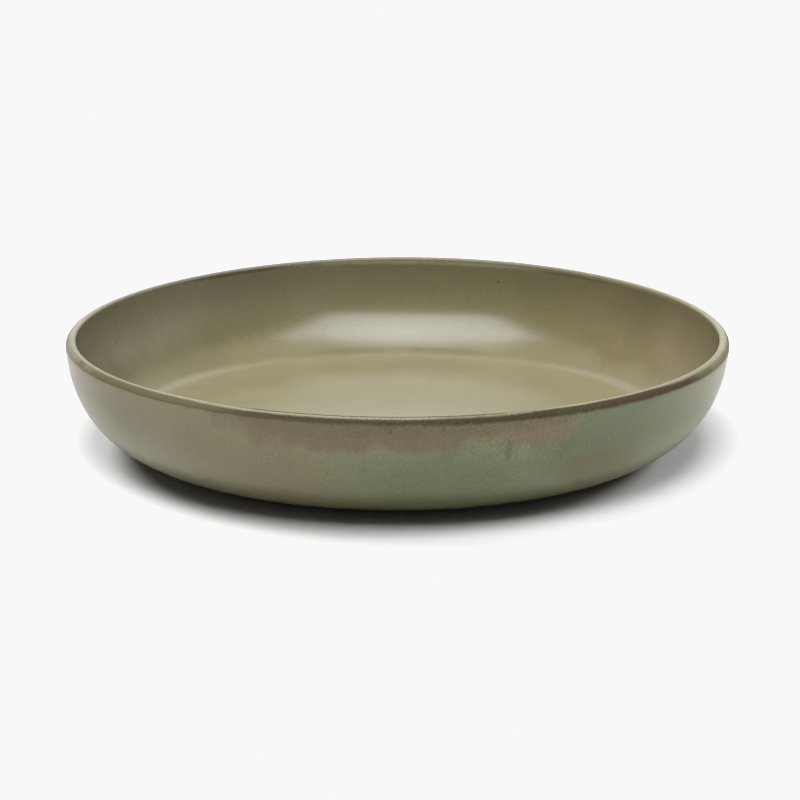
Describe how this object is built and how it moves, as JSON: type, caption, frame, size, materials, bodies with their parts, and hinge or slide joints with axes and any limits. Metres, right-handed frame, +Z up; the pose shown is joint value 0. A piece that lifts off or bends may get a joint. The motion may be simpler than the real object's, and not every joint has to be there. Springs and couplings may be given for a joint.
{
  "type": "pasta bowl",
  "caption": "Wide shallow round stoneware bowl with a curved wall, rounded brown-edged lip and low foot ring, in satin olive glaze, for serving pasta or salad.",
  "frame": {"origin": "on the table at the middle of the foot ring", "axes": "+Z up along the axis of the bowl; X and Y lie in the table, and the bowl is the same all round"},
  "size_m": [0.235, 0.235, 0.041],
  "materials": {
    "stoneware": "matte",
    "inside_glaze": "satin",
    "rim_glaze": "satin",
    "outside_glaze": "satin",
    "base_glaze": "satin"
  },
  "bodies": {
    "root": {"clay_body": "stoneware", "inside_glaze": "inside_glaze", "rim_glaze": "rim_glaze", "outside_glaze": "outside_glaze", "base_glaze": "base_glaze"}
  },
  "joints": []
}
